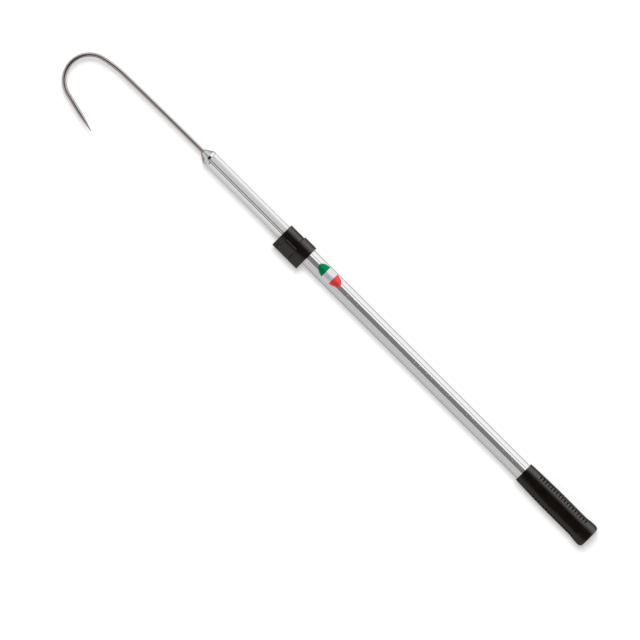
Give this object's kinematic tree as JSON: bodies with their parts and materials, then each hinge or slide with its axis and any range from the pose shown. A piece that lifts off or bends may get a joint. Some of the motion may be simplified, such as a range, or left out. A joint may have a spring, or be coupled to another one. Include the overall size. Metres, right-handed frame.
{
  "type": "fishing gaff",
  "caption": "Telescopic fishing gaff: a bent wire hook on a tube that slides and turns in a handle tube and is held by a cam lever clamp.",
  "frame": {"origin": "centre of the butt's flat face, on the tubes' axis", "axes": "+X along the tubes from the butt to the hook, +Y to the side that the hook and the clamp's lug reach to, +Z to the lever's side"},
  "size_m": [0.9327, 0.1033, 0.0346],
  "materials": {
    "tube_aluminium": "drawn and polished, fine lines along the tube",
    "hook_steel": "drawn stainless wire, bright",
    "turned_steel": "turned and bright",
    "clamp_nylon": "moulded black nylon, satin",
    "grip_rubber": "moulded black rubber, satin",
    "slide_nylon": "natural nylon",
    "label_vinyl": "printed vinyl in green, white and red"
  },
  "bodies": {
    "handle": {"grip": "grip_rubber", "butt_plug": "clamp_nylon", "outer_tube": "tube_aluminium", "tricolour_label": "label_vinyl", "clamp_collar": "clamp_nylon", "collar_rivet": "turned_steel", "lever_pin": "turned_steel"},
    "lever": {"clamp_lever": "clamp_nylon"},
    "shoe": {"clamp_shoe": "slide_nylon"},
    "slide": {"guide_ring_front": "slide_nylon", "guide_ring_rear": "slide_nylon"},
    "extension": {"inner_tube": "tube_aluminium", "nose_cone": "turned_steel", "nose_pin": "turned_steel", "hook": "hook_steel", "hook_washer": "turned_steel", "hook_nut": "turned_steel", "guide_plug": "clamp_nylon", "guide_plug_pin": "turned_steel"}
  },
  "joints": [
    {"name": "tube_slide", "type": "slide", "parent": "handle", "child": "slide", "axis": [1, 0, 0], "range_m": [-0.1295, 0.341]},
    {"name": "tube_turn", "type": "hinge", "parent": "slide", "child": "extension", "pos_m": [0.4, 0, 0], "axis": [1, 0, 0], "continuous": true},
    {"name": "lever_swing", "type": "hinge", "parent": "handle", "child": "lever", "pos_m": [0.5532, 0.0176, 0], "axis": [-1, 0, 0], "range_deg": [0, 100]},
    {"name": "shoe_press", "type": "slide", "parent": "handle", "child": "shoe", "axis": [0, 1, 0], "range_m": [0, 0.0004]}
  ],
  "couplings": [
    {"joint": "shoe_press", "follows": "lever_swing", "m_per_rad": 0.000229}
  ]
}
